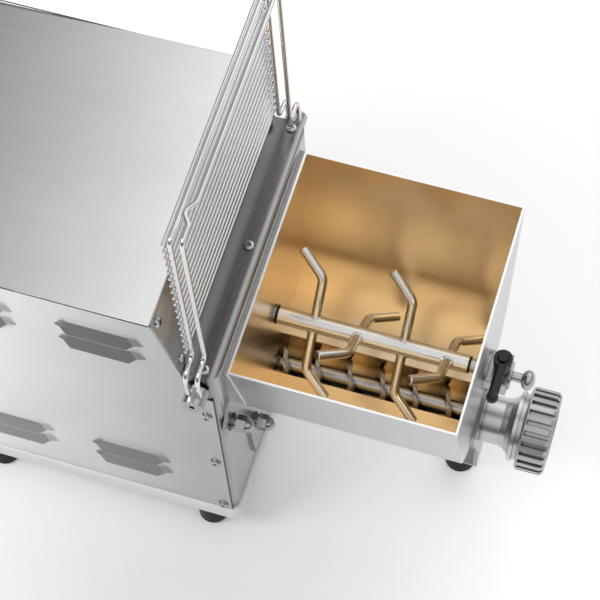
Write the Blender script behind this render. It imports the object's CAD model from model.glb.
import math
import bmesh
import bpy
from mathutils import Matrix, Vector


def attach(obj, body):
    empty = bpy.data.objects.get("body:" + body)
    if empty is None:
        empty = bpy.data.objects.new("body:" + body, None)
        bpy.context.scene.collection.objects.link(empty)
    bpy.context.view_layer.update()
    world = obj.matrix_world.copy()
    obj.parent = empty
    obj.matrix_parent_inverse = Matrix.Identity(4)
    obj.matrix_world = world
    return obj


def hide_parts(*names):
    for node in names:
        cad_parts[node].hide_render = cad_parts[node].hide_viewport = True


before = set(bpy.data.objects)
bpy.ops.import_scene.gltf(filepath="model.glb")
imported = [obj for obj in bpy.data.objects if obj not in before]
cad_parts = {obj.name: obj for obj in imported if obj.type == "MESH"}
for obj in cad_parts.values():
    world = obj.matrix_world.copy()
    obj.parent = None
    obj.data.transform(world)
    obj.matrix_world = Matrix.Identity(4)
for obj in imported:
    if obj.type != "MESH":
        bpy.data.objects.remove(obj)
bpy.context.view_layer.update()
print("frame loaded")

# Lengths below are in millimetres. X is measured from the inside face of the hopper's rear wall,
# Z from the table, and toFrame shifts them to the frame's origin.
mm = 0.001
shiftX = 13.0


def toFrame(x, y, z):
    return Vector(((x + shiftX) * mm, y * mm, z * mm))


# The camera stands where the photograph was taken, high on the near side
cameraSettings = {
    "place": (299.19, -713.77, 1791.88),
    "azimuth": 21.080,
    "elevation": 63.578,
    "roll": -4.375,
    "lens": 123.212,
    "sensor": 36,
    "farthest": 20,
}


def makeCamera():
    data = bpy.data.cameras.new("photoCamera")
    data.sensor_width = cameraSettings["sensor"]
    data.lens = cameraSettings["lens"]
    data.clip_end = cameraSettings["farthest"]
    camera = bpy.data.objects.new("photoCamera", data)
    turn = Matrix.Rotation(math.radians(cameraSettings["azimuth"]), 4, "Z")
    tilt = Matrix.Rotation(math.radians(90 - cameraSettings["elevation"]), 4, "X")
    roll = Matrix.Rotation(math.radians(cameraSettings["roll"]), 4, "Z")
    camera.matrix_world = Matrix.Translation(toFrame(*cameraSettings["place"])) @ turn @ tilt @ roll
    bpy.context.scene.collection.objects.link(camera)
    bpy.context.scene.camera = camera


makeCamera()
print("camera set")

# Small helpers for node materials. A noise counts between the two values of noiseBand.
noiseBand = (0.3, 0.7)
bevelSamples = 4


def newMaterial(name):
    material = bpy.data.materials.new(name)
    material.use_nodes = True
    nodes = material.node_tree.nodes
    nodes.clear()
    output = nodes.new("ShaderNodeOutputMaterial")
    shader = nodes.new("ShaderNodeBsdfPrincipled")
    material.node_tree.links.new(shader.outputs[0], output.inputs[0])
    return material, nodes, material.node_tree.links, shader


def objectNoise(nodes, links, scale, detail=2.0, rough=0.5):
    place = nodes.new("ShaderNodeTexCoord")
    mapping = nodes.new("ShaderNodeMapping")
    mapping.inputs["Scale"].default_value = scale
    noise = nodes.new("ShaderNodeTexNoise")
    noise.inputs["Scale"].default_value = 1.0
    noise.inputs["Detail"].default_value = detail
    noise.inputs["Roughness"].default_value = rough
    links.new(place.outputs["Object"], mapping.inputs["Vector"])
    links.new(mapping.outputs[0], noise.inputs["Vector"])
    return noise.outputs["Fac"]


def ranged(nodes, links, value, low, high, fromLow=noiseBand[0], fromHigh=noiseBand[1]):
    node = nodes.new("ShaderNodeMapRange")
    node.inputs["From Min"].default_value = fromLow
    node.inputs["From Max"].default_value = fromHigh
    node.inputs["To Min"].default_value = low
    node.inputs["To Max"].default_value = high
    links.new(value, node.inputs["Value"])
    return node.outputs["Result"]


def tinted(nodes, links, value, dark, light):
    ramp = nodes.new("ShaderNodeValToRGB")
    for element, position, colour in zip(ramp.color_ramp.elements, noiseBand, (dark, light)):
        element.position = position
        element.color = (*colour, 1)
    links.new(value, ramp.inputs["Fac"])
    return ramp.outputs["Color"]


def mathNode(nodes, links, operation, first, second=0.0):
    node = nodes.new("ShaderNodeMath")
    node.operation = operation
    for socket, value in zip(node.inputs, (first, second)):
        if isinstance(value, (int, float)):
            socket.default_value = value
        else:
            links.new(value, socket)
    return node.outputs[0]


def placeNodes(nodes, links):
    place = nodes.new("ShaderNodeTexCoord")
    split = nodes.new("ShaderNodeSeparateXYZ")
    links.new(place.outputs["Object"], split.inputs[0])
    return place.outputs["Object"], split.outputs


def scaledColour(nodes, links, colour, share):
    scale = nodes.new("ShaderNodeVectorMath")
    scale.operation = "SCALE"
    links.new(colour, scale.inputs[0])
    links.new(share, scale.inputs["Scale"])
    return scale.outputs[0]


def blendedColour(nodes, links, share, colour, other):
    mix = nodes.new("ShaderNodeMix")
    mix.data_type = "RGBA"
    links.new(share, mix.inputs["Factor"])
    links.new(colour, mix.inputs[6])
    mix.inputs[7].default_value = (*other, 1)
    return mix.outputs[2]


def bumped(nodes, links, shader, height, strength, distance, edge):
    bump = nodes.new("ShaderNodeBump")
    bump.inputs["Strength"].default_value = strength
    bump.inputs["Distance"].default_value = distance * mm
    links.new(height, bump.inputs["Height"])
    if edge > 0:
        bevel = nodes.new("ShaderNodeBevel")
        bevel.samples = bevelSamples
        bevel.inputs["Radius"].default_value = edge * mm
        links.new(bevel.outputs[0], bump.inputs["Normal"])
    links.new(bump.outputs[0], shader.inputs["Normal"])


# The inside of the hopper has a champagne tint, and its cut rim is bright. A face is an inside one
# where it looks towards the middle of the hopper.
hopperInside = {
    "middle": (92, 0, 225),
    "colour": (0.97, 0.77, 0.50),
    "share": 0.92,
    "facing": (-4, -1),
    "rim": 311.6,
    "edge": 0.3,
    "edgeColour": (0.97, 0.97, 0.96),
}


def warmInside(nodes, links, colour):
    values = hopperInside
    place, axes = placeNodes(nodes, links)
    away = nodes.new("ShaderNodeVectorMath")
    away.operation = "SUBTRACT"
    away.inputs[1].default_value = toFrame(*values["middle"])
    geometry = nodes.new("ShaderNodeNewGeometry")
    facing = nodes.new("ShaderNodeVectorMath")
    facing.operation = "DOT_PRODUCT"
    links.new(place, away.inputs[0])
    links.new(away.outputs[0], facing.inputs[0])
    links.new(geometry.outputs["Normal"], facing.inputs[1])
    start, end = values["facing"]
    inside = ranged(nodes, links, facing.outputs["Value"], values["share"], 0, start * mm, end * mm)
    warm = blendedColour(nodes, links, inside, colour, values["colour"])
    rim, edge = values["rim"] * mm, values["edge"] * mm
    cut = ranged(nodes, links, axes["Z"], 0, 1, rim - edge, rim - edge / 2)
    return blendedColour(nodes, links, cut, warm, values["edgeColour"])


# Grime and wear leave corners and grooves darker than open faces
creases = {"reach": 3.0, "samples": 8, "band": (0.35, 0.95)}


def darkCreases(nodes, links, colour, share):
    openness = nodes.new("ShaderNodeAmbientOcclusion")
    openness.samples = creases["samples"]
    openness.inputs["Distance"].default_value = creases["reach"] * mm
    shade = ranged(nodes, links, openness.outputs["AO"], 1 - share, 1, *creases["band"])
    return scaledColour(nodes, links, colour, shade)


# Brushed and polished metals. "along" is the axis that the grain follows, "streak" how far the
# tone varies from line to line, and "cloud" how far it varies in soft patches. Some also have
# "warm", which adds red and takes blue, "fade", two places along X and the tone's shares there,
# "ends", two distances from the middle and how much lighter the metal is beyond the second, and
# "crease", how dark its corners are.
metals = {
    "topSheet": {"tone": 0.73, "rough": (0.27, 0.32), "along": "X", "streak": 0.02, "cloud": 0.03,
                 "bump": 0.03, "fade": (-260, -60, 0.70, 1.34)},
    "sideSheet": {"tone": 0.78, "rough": (0.28, 0.33), "along": "X", "streak": 0.014, "cloud": 0.03,
                  "bump": 0.02, "fade": (-270, -30, 1.10, 0.66)},
    "frameSheet": {"tone": 0.52, "rough": (0.20, 0.30), "along": "Y", "streak": 0.01, "cloud": 0.03,
                   "fade": (-13, -3, 0.38, 1.0)},
    "plateSheet": {"tone": 0.35, "rough": (0.20, 0.30), "along": "Y", "streak": 0.01, "cloud": 0.05},
    "weldSteel": {"tone": 0.86, "rough": (0.18, 0.26), "along": "Z", "streak": 0.03, "cloud": 0.05},
    "slopeSheet": {"tone": 0.24, "rough": (0.22, 0.28), "along": "Y", "streak": 0.03, "cloud": 0.06,
                   "ends": (72, 112, 3.4)},
    "hopperSheet": {"tone": 0.60, "rough": (0.28, 0.30), "along": "X", "streak": 0.004, "cloud": 0.02,
                    "bump": 0.01},
    "turnedSteel": {"tone": 0.44, "rough": (0.18, 0.28), "along": "Y", "streak": 0.04, "cloud": 0.04,
                    "crease": 0.55},
    "throatSteel": {"tone": 0.54, "rough": (0.26, 0.34), "along": "X", "streak": 0.03, "cloud": 0.05,
                    "crease": 0.6},
    "ringSteel": {"tone": 0.46, "rough": (0.36, 0.44), "along": "X", "streak": 0.16, "cloud": 0.04,
                  "crease": 0.9},
    "shaftSteel": {"tone": 0.62, "rough": (0.14, 0.24), "along": "Y", "streak": 0.03, "cloud": 0.05,
                   "warm": 0.015},
    "wireSteel": {"tone": 0.74, "rough": (0.10, 0.18), "along": "Y", "streak": 0.02, "cloud": 0.03},
    "brightFastener": {"tone": 0.46, "rough": (0.12, 0.20), "along": "Z", "streak": 0.03, "cloud": 0.05,
                       "crease": 0.7},
    "nutSteel": {"tone": 0.36, "rough": (0.12, 0.18), "along": "Z", "streak": 0.03, "cloud": 0.05,
                 "crease": 0.9},
    "bronze": {"tone": 0.55, "rough": (0.25, 0.40), "along": "X", "streak": 0.04, "cloud": 0.06,
               "warm": 0.16},
    "oiledSteel": {"tone": 0.30, "rough": (0.20, 0.35), "along": "X", "streak": 0.05, "cloud": 0.08},
    "copper": {"tone": 0.50, "rough": (0.30, 0.50), "along": "X", "streak": 0.20, "cloud": 0.05,
               "warm": 0.22},
}
metalGrain = {
    "scales": {"X": (9, 420, 420), "Y": (420, 9, 420), "Z": (420, 420, 9)},
    "detail": 6.0,
    "rough": 0.65,
    "cloudScale": 14,
    "cloudDetail": 3.0,
    "bump": 0.05,
    "depth": 0.02,
    "edge": 0.35,
}


def makeMetal(name):
    values = metals[name]
    material, nodes, links, shader = newMaterial(name)
    grain = objectNoise(nodes, links, metalGrain["scales"][values["along"]], metalGrain["detail"],
                        metalGrain["rough"])
    cloud = objectNoise(nodes, links, (metalGrain["cloudScale"],) * 3, metalGrain["cloudDetail"])
    tone, warm = values["tone"], values.get("warm", 0.0)
    base = (tone + warm, tone, tone - warm)
    dark, light = [tuple(min(1.0, channel * (1 + change)) for channel in base)
                   for change in (-values["streak"], values["streak"])]
    colour = tinted(nodes, links, grain, dark, light)
    patches = ranged(nodes, links, cloud, 1 - values["cloud"], 1 + values["cloud"])
    colour = scaledColour(nodes, links, colour, patches)
    if "fade" in values:
        start, end, first, last = values["fade"]
        _, axes = placeNodes(nodes, links)
        share = ranged(nodes, links, axes["X"], first, last, (start + shiftX) * mm, (end + shiftX) * mm)
        colour = scaledColour(nodes, links, colour, share)
    if "ends" in values:
        start, end, lighter = values["ends"]
        _, axes = placeNodes(nodes, links)
        distance = mathNode(nodes, links, "ABSOLUTE", axes["Y"])
        share = ranged(nodes, links, distance, 1, lighter, start * mm, end * mm)
        colour = scaledColour(nodes, links, colour, share)
    if "crease" in values:
        colour = darkCreases(nodes, links, colour, values["crease"])
    if name == "hopperSheet":
        colour = warmInside(nodes, links, colour)
    links.new(colour, shader.inputs["Base Color"])
    shader.inputs["Metallic"].default_value = 1.0
    links.new(ranged(nodes, links, grain, *values["rough"]), shader.inputs["Roughness"])
    bumped(nodes, links, shader, grain, values.get("bump", metalGrain["bump"]), metalGrain["depth"],
           metalGrain["edge"])
    return material


# Castings, coatings, rubbers and plastics. "speck" is the size of the surface's grain. Where they
# aren't given, "metal" and "coat" are none and "gloss" is the plain one.
solids = {
    "driveCast": {"dark": (0.34, 0.35, 0.37), "light": (0.46, 0.47, 0.49), "rough": (0.45, 0.6),
                  "speck": 2.0, "bump": 0.4, "depth": 0.2, "edge": 0.5, "metal": 0.7},
    "baseCoat": {"dark": (0.76, 0.775, 0.785), "light": (0.84, 0.85, 0.86), "rough": (0.28, 0.36),
                 "speck": 1.6, "bump": 0.15, "depth": 0.05, "edge": 0.5, "coat": 0.2},
    "footRubber": {"dark": (0.010, 0.010, 0.010), "light": (0.022, 0.022, 0.022), "rough": (0.45, 0.62),
                   "speck": 0.8, "bump": 0.3, "depth": 0.08, "edge": 0.4, "gloss": 0.2},
    "sealGrey": {"dark": (0.050, 0.050, 0.052), "light": (0.075, 0.075, 0.078), "rough": (0.5, 0.6),
                 "speck": 0.8, "bump": 0.2, "depth": 0.04, "edge": 0.2},
    "blackPlastic": {"dark": (0.014, 0.014, 0.016), "light": (0.026, 0.026, 0.029), "rough": (0.26, 0.38),
                     "speck": 0.5, "bump": 0.25, "depth": 0.04, "edge": 0.4, "gloss": 0.35},
    "ivoryPlastic": {"dark": (0.74, 0.73, 0.68), "light": (0.82, 0.81, 0.76), "rough": (0.35, 0.5),
                     "speck": 1.2, "bump": 0.2, "depth": 0.05, "edge": 0.4},
    "darkPlate": {"dark": (0.045, 0.046, 0.050), "light": (0.062, 0.063, 0.068), "rough": (0.25, 0.35),
                  "speck": 0.7, "bump": 0.2, "depth": 0.04, "edge": 0.4, "coat": 0.3},
    "greenPlastic": {"dark": (0.02, 0.26, 0.08), "light": (0.03, 0.36, 0.11), "rough": (0.20, 0.30),
                     "speck": 2.5, "bump": 0.1, "depth": 0.04, "edge": 0.4, "coat": 0.4},
    "redPlastic": {"dark": (0.48, 0.016, 0.014), "light": (0.60, 0.026, 0.022), "rough": (0.20, 0.30),
                   "speck": 2.5, "bump": 0.1, "depth": 0.04, "edge": 0.4, "coat": 0.4},
}
solidGrain = {
    "detail": 4.0,
    "rough": 0.6,
    "cloudScale": 18,
    "cloudDetail": 3.0,
    "cloudShare": 0.4,
    "gloss": 0.5,
}


def makeSolid(name):
    values = solids[name]
    material, nodes, links, shader = newMaterial(name)
    size = 1 / (values["speck"] * mm)
    grain = objectNoise(nodes, links, (size, size, size), solidGrain["detail"], solidGrain["rough"])
    cloud = objectNoise(nodes, links, (solidGrain["cloudScale"],) * 3, solidGrain["cloudDetail"])
    mixed = nodes.new("ShaderNodeMix")
    mixed.inputs["Factor"].default_value = solidGrain["cloudShare"]
    links.new(grain, mixed.inputs[2])
    links.new(cloud, mixed.inputs[3])
    colour = tinted(nodes, links, mixed.outputs[0], values["dark"], values["light"])
    links.new(colour, shader.inputs["Base Color"])
    shader.inputs["Metallic"].default_value = values.get("metal", 0.0)
    shader.inputs["Specular IOR Level"].default_value = values.get("gloss", solidGrain["gloss"])
    shader.inputs["Coat Weight"].default_value = values.get("coat", 0.0)
    links.new(ranged(nodes, links, cloud, *values["rough"]), shader.inputs["Roughness"])
    bumped(nodes, links, shader, grain, values["bump"], values["depth"], values["edge"])
    return material


materials = {name: makeMetal(name) for name in metals}
materials.update({name: makeSolid(name) for name in solids})

nodeMaterials = {
    "topSheet": ["top_panel", "rear_panel"],
    "slopeSheet": ["slope_panel"],
    "sideSheet": ["side_panel_near", "side_panel_far"],
    "frameSheet": ["front_frame"],
    "plateSheet": ["back_plate", "leg_plate", "motor_cradle", "fan_cover"],
    "hopperSheet": ["hopper_tub", "auger_trough"],
    "turnedSteel": ["pin_housing", "shaft_pin", "hinge_blocks", "mixer_drive", "pinion_shaft",
                    "motor_rotor", "auger_core", "auger_flight", "shaft_bearings"],
    "shaftSteel": ["mixer_shaft"],
    "wireSteel": ["lid_frame_outer", "lid_frame_inner", "lid_wires"],
    "brightFastener": ["panel_screws", "hinge_axles"],
    "nutSteel": ["hopper_studs", "hopper_nuts"],
    "throatSteel": ["throat"],
    "ringSteel": ["ring_nut"],
    "bronze": ["die"],
    "oiledSteel": ["mixer_gear", "auger_gear", "pinion"],
    "copper": ["motor_stator"],
    "driveCast": ["gear_case", "gear_cover", "reducer_case", "motor_body"],
    "baseCoat": ["base_tray"],
    "footRubber": ["base_feet", "hopper_foot", "hinge_washers", "shaft_seals"],
    "blackPlastic": ["clamp_lever", "clamp_insert", "motor_fan", "switch_blocks", "selector_knob",
                     "cord_inlet", "lid_sensor"],
    "ivoryPlastic": ["capacitor", "contactor_box"],
    "darkPlate": ["control_plate"],
    "greenPlastic": ["start_button"],
    "redPlastic": ["stop_button"],
}
for name, nodeNames in nodeMaterials.items():
    for nodeName in nodeNames:
        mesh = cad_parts[nodeName].data
        mesh.materials.clear()
        mesh.materials.append(materials[name])
print("materials set")


# The wires and fingers made below have round bends, where the frame's own have a ball in each bend.
# A bend takes no more than longestTake of the straight run on either side of it.
bendSteps = 8
longestTake = 0.48
sharpAngle = 35


def arcPoints(before, corner, after, bend):
    towards, away = (before - corner).normalized(), (after - corner).normalized()
    half = towards.angle(away) / 2
    shorter = min((before - corner).length, (after - corner).length)
    take = min(bend / math.tan(half), longestTake * shorter)
    radius = take * math.tan(half)
    middle = corner + (towards + away).normalized() * radius / math.sin(half)
    start, end = corner + towards * take - middle, corner + away * take - middle
    whole = start.angle(end)
    points = []
    for i in range(bendSteps + 1):
        share = i / bendSteps
        turned = start * math.sin((1 - share) * whole) + end * math.sin(share * whole)
        points.append(middle + turned / math.sin(whole))
    return points


def roundedPath(corners, bend):
    path = [corners[0]]
    for before, corner, after in zip(corners, corners[1:], corners[2:]):
        path += arcPoints(before, corner, after, bend)
    return path + [corners[-1]]


# A tube follows its path; "edge" is the size of the chamfer at its ends
def addTube(mesh, path, radius, sides, edge=0.0, closed=False):
    tangents = []
    for i in range(len(path)):
        before = path[i - 1] if i > 0 or closed else path[i]
        after = path[(i + 1) % len(path)] if i + 1 < len(path) or closed else path[i]
        tangents.append((after - before).normalized())
    rows = [(point, tangent, 1.0) for point, tangent in zip(path, tangents)]
    if edge > 0:
        back = 1 - edge / radius
        start, end = rows[0], rows[-1]
        rows[0] = (start[0] + start[1] * edge, start[1], 1.0)
        rows[-1] = (end[0] - end[1] * edge, end[1], 1.0)
        rows = [(start[0], start[1], back)] + rows + [(end[0], end[1], back)]
    normal = tangents[0].orthogonal().normalized()
    circles = []
    for place, tangent, share in rows:
        normal = (normal - tangent * normal.dot(tangent)).normalized()
        across = tangent.cross(normal)
        turns = [2 * math.pi * i / sides for i in range(sides)]
        outward = [normal * math.cos(turn) + across * math.sin(turn) for turn in turns]
        circles.append([mesh.verts.new(place + out * radius * share) for out in outward])
    pairs = list(zip(circles, circles[1:])) + ([(circles[-1], circles[0])] if closed else [])
    for lower, upper in pairs:
        for i in range(sides):
            j = (i + 1) % sides
            mesh.faces.new((lower[i], lower[j], upper[j], upper[i]))
    if not closed:
        mesh.faces.new(tuple(reversed(circles[0])))
        mesh.faces.new(tuple(circles[-1]))


def finishPiece(mesh, name, material, body, replaced=(), sharp=sharpAngle):
    data = bpy.data.meshes.new(name)
    bmesh.ops.recalc_face_normals(mesh, faces=mesh.faces)
    mesh.to_mesh(data)
    mesh.free()
    for polygon in data.polygons:
        polygon.use_smooth = True
    data.set_sharp_from_angle(angle=math.radians(sharp))
    data.materials.append(materials[material])
    piece = bpy.data.objects.new(name, data)
    bpy.context.scene.collection.objects.link(piece)
    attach(piece, body)
    if replaced:
        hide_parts(*replaced)


# The two bent wires of the lid, open at rest and leaning a little back from its hinge
lidWires = {
    "hinge": (-20, 308),
    "lean": 0.6,
    "rodDiameter": 4,
    "planes": (-4.85, 4.85),
    "blockHalf": 132.25,
    "half": 112,
    "rodFoot": 4,
    "stepHeight": 38,
    "lengths": (223, 226),
    "stepBend": 8,
    "notchWidth": 20,
    "notchOut": 8,
    "notchDrop": 3,
    "notchApexShare": 0.56,
    "notchInset": 15,
    "notchBend": 6,
    "sides": 20,
}


def lidPoint(x, y, z):
    turn = Matrix.Rotation(math.radians(-lidWires["lean"]), 4, "Y")
    return toFrame(lidWires["hinge"][0], 0, lidWires["hinge"][1]) + turn @ (Vector((x, y, z)) * mm)


def makeLidFrame(name, plane, length, notched, replaced):
    values = lidWires
    half, foot, step = values["half"], values["blockHalf"], values["stepHeight"]
    near = [lidPoint(plane, -foot, values["rodFoot"]), lidPoint(plane, -foot, step),
            lidPoint(plane, -half, step), lidPoint(plane, -half, length)]
    far = [lidPoint(plane, half, length), lidPoint(plane, half, step),
           lidPoint(plane, foot, step), lidPoint(plane, foot, values["rodFoot"])]
    path = roundedPath(near[:3] + [near[2].lerp(near[3], 0.5)], values["stepBend"] * mm)
    bar = [near[2].lerp(near[3], 0.5), near[3]]
    if notched:
        start = values["notchInset"] - half
        apex = start + values["notchWidth"] * values["notchApexShare"]
        bar += [lidPoint(plane, start, length),
                lidPoint(plane - values["notchOut"], apex, length - values["notchDrop"]),
                lidPoint(plane, start + values["notchWidth"], length)]
    bar += [far[0], far[1].lerp(far[0], 0.5)]
    path += roundedPath(bar, values["notchBend"] * mm)[1:]
    path += roundedPath([bar[-1]] + far[1:], values["stepBend"] * mm)[1:]
    mesh = bmesh.new()
    addTube(mesh, path, values["rodDiameter"] / 2 * mm, values["sides"])
    finishPiece(mesh, name, "wireSteel", "lid", (replaced,))


outerPlane, innerPlane = lidWires["planes"]
outerLength, innerLength = lidWires["lengths"]
makeLidFrame("lidFrameOuterWire", outerPlane, outerLength, False, "lid_frame_outer")
makeLidFrame("lidFrameInnerWire", innerPlane, innerLength, True, "lid_frame_inner")
print("lid wires made")

# The mixing shaft: its tube, four bent rods that make the eight fingers, and their welds
mixer = {
    "height": 213,
    "tube": (3.5, 172),
    "tubeDiameter": 15.6,
    "edge": 0.7,
    "fingerDiameter": 8.5,
    "stations": 4,
    "stationFirst": 35.5,
    "stationPitch": 39.4,
    "bendRadius": 42.5,
    "tipRadius": 64.5,
    "phase": 43,
    "fingerBend": 12,
    "weld": 0.9,
    "weldOut": 0.3,
    "tubeSides": 64,
    "fingerSides": 32,
    "weldSides": 10,
    "weldSteps": 48,
}


def fingerTurn(station):
    return math.radians(-mixer["phase"] if station % 2 == 0 else 90 - mixer["phase"])


def makeMixingShaft():
    values = mixer
    mesh = bmesh.new()
    edge = values["edge"] * mm
    rear, front = [toFrame(x, 0, values["height"]) for x in values["tube"]]
    radius = values["tubeDiameter"] / 2
    addTube(mesh, [rear, front], radius * mm, values["tubeSides"], edge)
    lean = values["tipRadius"] - values["bendRadius"]
    corners = [(-lean, values["tipRadius"]), (0, values["bendRadius"]), (0, -values["bendRadius"]),
               (lean, -values["tipRadius"])]
    fingerRadius, bend = values["fingerDiameter"] / 2, values["fingerBend"] * mm
    weldRadius = fingerRadius + values["weldOut"]
    for station in range(values["stations"]):
        middle = toFrame(values["stationFirst"] + station * values["stationPitch"], 0, values["height"])
        turn = Matrix.Rotation(fingerTurn(station), 3, "X")
        points = [middle + turn @ (Vector((x, 0, z)) * mm) for x, z in corners]
        halfway = points[1].lerp(points[2], 0.5)
        path = roundedPath(points[:2] + [halfway], bend) + roundedPath([halfway] + points[2:], bend)[1:]
        addTube(mesh, path, fingerRadius * mm, values["fingerSides"], edge)
        for side in (-1, 1):
            loop = []
            for i in range(values["weldSteps"]):
                angle = 2 * math.pi * i / values["weldSteps"]
                across = weldRadius * math.sin(angle)
                along = weldRadius * math.cos(angle)
                rise = side * math.sqrt(radius * radius - across * across)
                loop.append(middle + turn @ (Vector((along, across, rise)) * mm))
            addTube(mesh, loop, values["weld"] * mm, values["weldSides"], closed=True)
    finishPiece(mesh, "mixingShaft", "shaftSteel", "mixer", ("mixer_shaft",))


makeMixingShaft()

# Rubber rings close the gaps at both ends of the mixing shaft
rings = {
    "shaftRearRing": {"x": 2.4, "diameter": 17.2, "thickness": 1.6},
    "shaftFrontRing": {"x": 172.6, "diameter": 15.2, "thickness": 1.3},
}
ringSteps = 72
ringSides = 12


def makeRing(name):
    values = rings[name]
    mesh = bmesh.new()
    radius = (values["diameter"] - values["thickness"]) / 2
    loop = []
    for i in range(ringSteps):
        angle = 2 * math.pi * i / ringSteps
        rise = radius * math.sin(angle)
        loop.append(toFrame(values["x"], radius * math.cos(angle), mixer["height"] + rise))
    addTube(mesh, loop, values["thickness"] / 2 * mm, ringSides, closed=True)
    finishPiece(mesh, name, "footRubber", "mixer")


for name in rings:
    makeRing(name)
print("mixing shaft made")

# Dark sealing strips show as thin lines where the side panels meet the front frame and the top
seams = {
    "width": 0.8,
    "proud": 0.3,
    "sides": 123.5,
    "frameSide": 122.5,
    "corners": {"foot": (-9.4, 46), "step": (-9.4, 289.6), "inner": (-42.4, 289.6), "top": (-51.6, 405)},
    "rear": (-268, 403),
    "topFront": (-52, 403),
    "topWidth": 1.0,
}


def addBar(mesh, a, b, width, depth, outward):
    along = (b - a).normalized()
    across = along.cross(outward).normalized() * width / 2
    out = outward * depth
    corners = [a - across, a + across, b + across, b - across]
    lower = [mesh.verts.new(corner - out) for corner in corners]
    upper = [mesh.verts.new(corner + out) for corner in corners]
    mesh.faces.new(tuple(reversed(lower)))
    mesh.faces.new(tuple(upper))
    for i in range(4):
        j = (i + 1) % 4
        mesh.faces.new((lower[i], lower[j], upper[j], upper[i]))


def makeSeams(name, side):
    values = seams
    mesh = bmesh.new()
    outward = Vector((0, side, 0))
    shift = values["width"] / 2
    rises = {"foot": 0, "step": shift, "inner": shift, "top": 0}
    front = [(x + shift, z + rises[corner]) for corner, (x, z) in values["corners"].items()]
    places = [toFrame(x, side * values["frameSide"], z) for x, z in front]
    for a, b in zip(places, places[1:]):
        addBar(mesh, a, b, values["width"] * mm, values["proud"] * mm, outward)
    rear, top = [toFrame(x, side * values["sides"], z) for x, z in (values["rear"], values["topFront"])]
    addBar(mesh, rear, top, values["topWidth"] * mm, values["proud"] * mm, outward)
    finishPiece(mesh, name, "sealGrey", "machine")


for name, side in (("seamNear", -1), ("seamFar", 1)):
    makeSeams(name, side)
print("seams made")

# Weld beads join the hopper's sloping walls and round bottom to the plate behind it
beads = {
    "x": -2,
    "half": 106,
    "rim": 310.5,
    "axis": 213,
    "radius": 82,
    "size": 1.0,
    "steps": 32,
    "sides": 12,
    "sharp": 60,
}


def makeBeads():
    values = beads
    mesh = bmesh.new()
    rise = values["rim"] - values["axis"]
    reach = math.hypot(values["half"], rise)
    foot = math.atan2(rise, values["half"]) - math.acos(values["radius"] / reach)
    path = [toFrame(values["x"], -values["half"], values["rim"])]
    for i in range(values["steps"] + 1):
        angle = math.pi - foot + (math.pi + 2 * foot) * i / values["steps"]
        path.append(toFrame(values["x"], values["radius"] * math.cos(angle),
                            values["axis"] + values["radius"] * math.sin(angle)))
    path.append(toFrame(values["x"], values["half"], values["rim"]))
    addTube(mesh, path, values["size"] * mm, values["sides"])
    finishPiece(mesh, "hopperWeld", "weldSteel", "machine", sharp=values["sharp"])


makeBeads()
print("weld made")

# Floor, world and lights. The sky's stops go from straight down at 0 to straight up at 1, and the
# reaches below them are parts of a direction's X, Y or Z.
studio = {
    "floorHalf": 14.0,
    "floorTone": 0.88,
    "floorCloud": 0.01,
    "floorCloudScale": 3,
    "floorRough": 0.7,
    "floorGlow": 0.27,
    "shade": {"place": (-30, -250, 0), "reach": (70, 330), "share": 0.1},
    "skyStops": ((0.0, 0.70), (0.47, 0.70), (0.53, 0.24), (0.62, 0.38), (0.78, 0.80), (0.92, 0.95),
                 (1.0, 0.95)),
    "skyStrength": 1.0,
    "nearDark": 0.72,
    "nearReach": (-0.95, -0.25),
    "lowReach": (0.35, 0.8),
    "horizonReach": (-0.1, 0.0),
    "leftTone": (0.45, 1.12),
    "leftReach": (-0.42, -0.15),
    "key": {"place": (-900, -700, 1300), "aim": (-330, -330, 0), "size": (600, 600), "power": 8},
    "back": {"place": (300, 1200, 1100), "aim": (50, 0, 250), "size": (1900, 1000), "power": 3.6},
}


# The floor glows a little to the camera and in reflections, less so in the soft shade in front
def makeFloor():
    mesh = bpy.data.meshes.new("floor")
    half = studio["floorHalf"]
    corners = [(-half, -half, 0), (half, -half, 0), (half, half, 0), (-half, half, 0)]
    mesh.from_pydata(corners, [], [(0, 1, 2, 3)])
    floor = bpy.data.objects.new("floor", mesh)
    bpy.context.scene.collection.objects.link(floor)
    material, nodes, links, shader = newMaterial("floorPaint")
    tone = studio["floorTone"]
    cloud = objectNoise(nodes, links, (studio["floorCloudScale"],) * 3)
    paint = tinted(nodes, links, cloud, (tone,) * 3, (tone + studio["floorCloud"],) * 3)
    links.new(paint, shader.inputs["Base Color"])
    shader.inputs["Roughness"].default_value = studio["floorRough"]
    shade = studio["shade"]
    place = nodes.new("ShaderNodeTexCoord")
    distance = nodes.new("ShaderNodeVectorMath")
    distance.operation = "DISTANCE"
    distance.inputs[1].default_value = toFrame(*shade["place"])
    links.new(place.outputs["Object"], distance.inputs[0])
    reach = [length * mm for length in shade["reach"]]
    full = studio["floorGlow"]
    glow = ranged(nodes, links, distance.outputs["Value"], full * shade["share"], full, *reach)
    path = nodes.new("ShaderNodeLightPath")
    seen = mathNode(nodes, links, "MAXIMUM", path.outputs["Is Camera Ray"], path.outputs["Is Glossy Ray"])
    seen = mathNode(nodes, links, "MAXIMUM", seen, path.outputs["Is Transmission Ray"])
    shader.inputs["Emission Color"].default_value = (1, 1, 1, 1)
    links.new(mathNode(nodes, links, "MULTIPLY", glow, seen), shader.inputs["Emission Strength"])
    mesh.materials.append(material)


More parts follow.
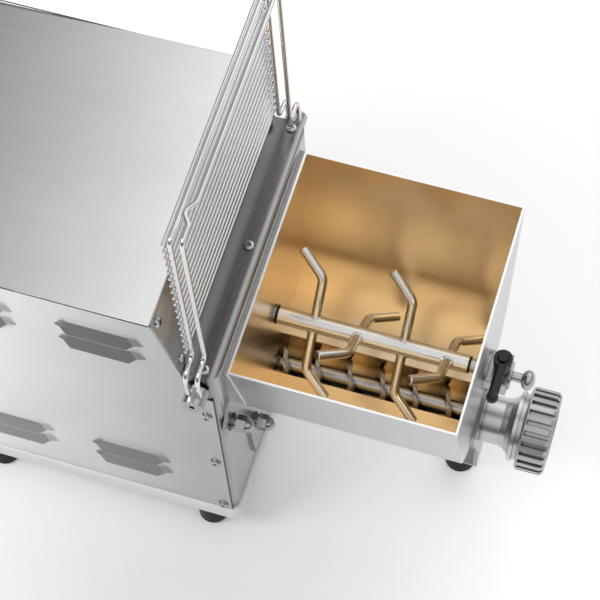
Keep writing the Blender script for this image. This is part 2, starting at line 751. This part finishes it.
# The sky is bright overhead and dark at the horizon, and the camera's own side and the left side of
# the room are dim
def makeWorld():
    world = bpy.data.worlds.new("studioWorld")
    bpy.context.scene.world = world
    world.use_nodes = True
    nodes, links = world.node_tree.nodes, world.node_tree.links
    nodes.clear()
    output = nodes.new("ShaderNodeOutputWorld")
    sky = nodes.new("ShaderNodeBackground")
    place = nodes.new("ShaderNodeTexCoord")
    split = nodes.new("ShaderNodeSeparateXYZ")
    ramp = nodes.new("ShaderNodeValToRGB")
    stops = studio["skyStops"]
    ramp.color_ramp.elements[0].position = stops[0][0]
    ramp.color_ramp.elements[1].position = stops[-1][0]
    for position, _ in stops[1:-1]:
        ramp.color_ramp.elements.new(position)
    for element, (_, tone) in zip(ramp.color_ramp.elements, stops):
        element.color = (tone, tone, tone, 1)
    lift = ranged(nodes, links, split.outputs["Z"], 0, 1, -1, 1)
    links.new(place.outputs["Generated"], split.inputs[0])
    links.new(lift, ramp.inputs["Fac"])
    near = ranged(nodes, links, split.outputs["Y"], 1, 0, *studio["nearReach"])
    low = ranged(nodes, links, split.outputs["Z"], 1, 0, *studio["lowReach"])
    above = ranged(nodes, links, split.outputs["Z"], 0, 1, *studio["horizonReach"])
    dim = mathNode(nodes, links, "MULTIPLY", mathNode(nodes, links, "MULTIPLY", near, low), above)
    lost = mathNode(nodes, links, "MULTIPLY", dim, studio["nearDark"])
    strength = mathNode(nodes, links, "SUBTRACT", studio["skyStrength"], lost)
    left = ranged(nodes, links, split.outputs["X"], *studio["leftTone"], *studio["leftReach"])
    links.new(ramp.outputs["Color"], sky.inputs["Color"])
    links.new(mathNode(nodes, links, "MULTIPLY", strength, left), sky.inputs["Strength"])
    links.new(sky.outputs[0], output.inputs[0])


def makeLight(name):
    values = studio[name]
    data = bpy.data.lights.new(name + "Light", "AREA")
    data.shape = "RECTANGLE"
    data.size = values["size"][0] * mm
    data.size_y = values["size"][1] * mm
    data.energy = values["power"]
    light = bpy.data.objects.new(name + "Light", data)
    place = toFrame(*values["place"])
    light.location = place
    light.rotation_euler = (toFrame(*values["aim"]) - place).to_track_quat("-Z", "Y").to_euler()
    bpy.context.scene.collection.objects.link(light)


makeFloor()
makeWorld()
for name in ("key", "back"):
    makeLight(name)
bpy.context.scene.view_settings.view_transform = "Standard"
print("studio set")

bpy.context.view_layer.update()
